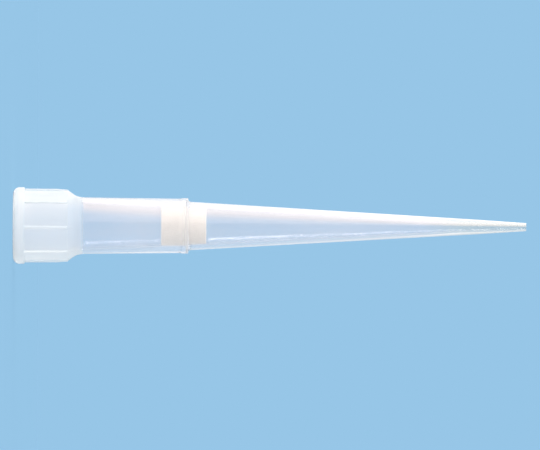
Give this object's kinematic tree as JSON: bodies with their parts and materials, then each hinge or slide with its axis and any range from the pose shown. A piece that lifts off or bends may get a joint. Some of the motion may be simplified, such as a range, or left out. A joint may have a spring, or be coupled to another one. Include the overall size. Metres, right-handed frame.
{
  "type": "pipette tip",
  "caption": "Tapered translucent filter pipette tip with a ribbed collar, a stepped tube and a porous plug pressed in its bore.",
  "frame": {"origin": "centre of the rim's face, on the floor that the tip stands on", "axes": "+Z along the tip's axis, from the rim to the orifice; one collar rib lies in the XZ plane"},
  "size_m": [0.0076, 0.0076, 0.0513],
  "materials": {
    "clear_polypropylene": "clear moulding, milky where the collar is textured",
    "porous_polyethylene": "sintered, fine open grain"
  },
  "bodies": {
    "root": {"tip_body": "clear_polypropylene", "filter_plug": "porous_polyethylene"}
  },
  "joints": []
}
